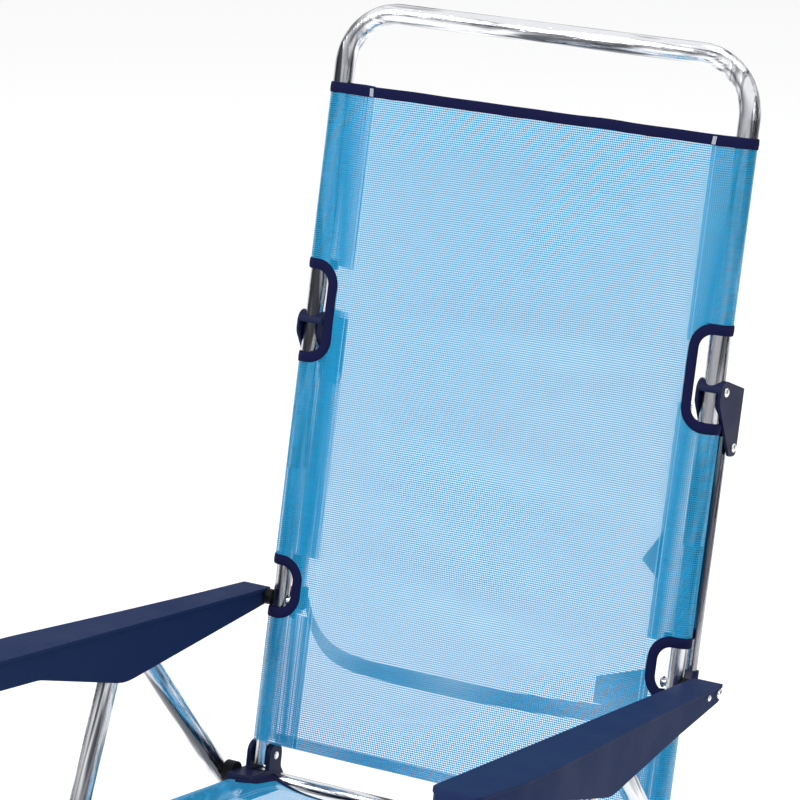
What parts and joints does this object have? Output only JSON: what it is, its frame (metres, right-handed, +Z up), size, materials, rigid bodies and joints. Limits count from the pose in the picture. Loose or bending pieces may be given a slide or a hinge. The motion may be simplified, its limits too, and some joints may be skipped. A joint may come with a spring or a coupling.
{
  "type": "beach chair",
  "caption": "Folding beach chair: high reclining mesh back on a bent tube hoop, mesh seat, splayed tube legs and moulded armrests with racks underneath.",
  "frame": {"origin": "on the ground, under the middle of the chair's outline", "axes": "+Z up, the chair faces -Y, the sitter's left is +X"},
  "size_m": [0.6078, 0.756, 1.0677],
  "materials": {
    "polished_tube": "polished aluminium tube",
    "steel_fastener": "bright plated domed rivets, pins and bolts",
    "navy_plastic": "satin moulded navy plastic",
    "armrest_plastic": "satin moulded navy plastic with a fine grain",
    "black_plastic": "matte black plastic",
    "back_fabric": "open vinyl-coated mesh, light blue with deeper blue doubled sleeves and navy binding",
    "seat_fabric": "open vinyl-coated mesh, light blue with deeper blue doubled sleeves and navy binding"
  },
  "bodies": {
    "rear_leg": {"rear_leg_tube": "polished_tube", "rear_leg_knuckle_left": "navy_plastic", "rear_leg_knuckle_right": "navy_plastic", "rear_foot_left": "navy_plastic", "rear_foot_right": "navy_plastic", "leg_joint_pins": "steel_fastener", "seat_pivot_spacer_left": "black_plastic", "seat_pivot_spacer_right": "black_plastic", "seat_pivot_rivets": "steel_fastener"},
    "front_leg": {"front_leg_tube": "polished_tube", "front_leg_knuckle_left": "navy_plastic", "front_leg_knuckle_right": "navy_plastic", "front_foot_left": "navy_plastic", "front_foot_right": "navy_plastic", "front_cross_tube": "polished_tube", "cross_tube_bracket_left": "navy_plastic", "cross_tube_bracket_right": "navy_plastic", "cross_bracket_rivets": "steel_fastener"},
    "seat": {"seat_tube": "polished_tube", "seat_rear_bar": "polished_tube", "hinge_bracket_left": "navy_plastic", "hinge_bracket_right": "navy_plastic", "seat_saddle_left": "navy_plastic", "seat_saddle_right": "navy_plastic", "seat_fabric": "seat_fabric"},
    "back_hinge_pins": {"back_hinge_rivets": "steel_fastener"},
    "back": {"back_hoop": "polished_tube", "back_upright_left": "polished_tube", "back_upright_right": "polished_tube", "upright_rivets": "steel_fastener", "back_fabric": "back_fabric", "stay_link_left": "navy_plastic", "stay_link_right": "navy_plastic", "stay_left": "polished_tube", "stay_right": "polished_tube", "link_rivets": "steel_fastener", "stay_foot_left": "navy_plastic", "stay_foot_right": "navy_plastic", "arm_bush_left": "black_plastic", "arm_bush_right": "black_plastic"},
    "arm_bolts": {"arm_pivot_bolts": "steel_fastener"},
    "armrest_left": {"armrest_left": "armrest_plastic", "armrest_screw_left": "steel_fastener"},
    "armrest_right": {"armrest_right": "armrest_plastic", "armrest_screw_right": "steel_fastener"}
  },
  "joints": [
    {"name": "leg_fold", "type": "hinge", "parent": "rear_leg", "child": "front_leg", "pos_m": [0, -0.05012, 0.48122], "axis": [1, 0, 0], "range_deg": [0, 64.2]},
    {"name": "seat_fold", "type": "hinge", "parent": "rear_leg", "child": "seat", "pos_m": [0, 0.1285, 0.26], "axis": [-1, 0, 0], "range_deg": [0, 40.6]},
    {"name": "back_fold", "type": "hinge", "parent": "seat", "child": "back_hinge_pins", "pos_m": [0, 0.16394, 0.27251], "axis": [1, 0, 0], "range_deg": [0, 86]},
    {"name": "back_recline", "type": "hinge", "parent": "back_hinge_pins", "child": "back", "pos_m": [0, 0.16394, 0.27251], "axis": [-1, 0, 0], "range_deg": [0, 34]},
    {"name": "arm_fold", "type": "hinge", "parent": "back", "child": "arm_bolts", "pos_m": [0, 0.20376, 0.43886], "axis": [-1, 0, 0], "range_deg": [0, 90]},
    {"name": "arm_level_left", "type": "hinge", "parent": "arm_bolts", "child": "armrest_left", "pos_m": [0, 0.20376, 0.43886], "axis": [1, 0, 0], "range_deg": [0, 28.9]},
    {"name": "arm_level_right", "type": "hinge", "parent": "arm_bolts", "child": "armrest_right", "pos_m": [0, 0.20376, 0.43886], "axis": [1, 0, 0], "range_deg": [0, 28.9]}
  ],
  "couplings": [
    {"joint": "seat_fold", "follows": "leg_fold", "ratio": 0.63239},
    {"joint": "back_fold", "follows": "leg_fold", "ratio": 1.3396},
    {"joint": "arm_fold", "follows": "leg_fold", "ratio": 1.4019},
    {"joint": "arm_level_left", "follows": "back_recline", "ratio": 0.85},
    {"joint": "arm_level_right", "follows": "back_recline", "ratio": 0.85}
  ]
}
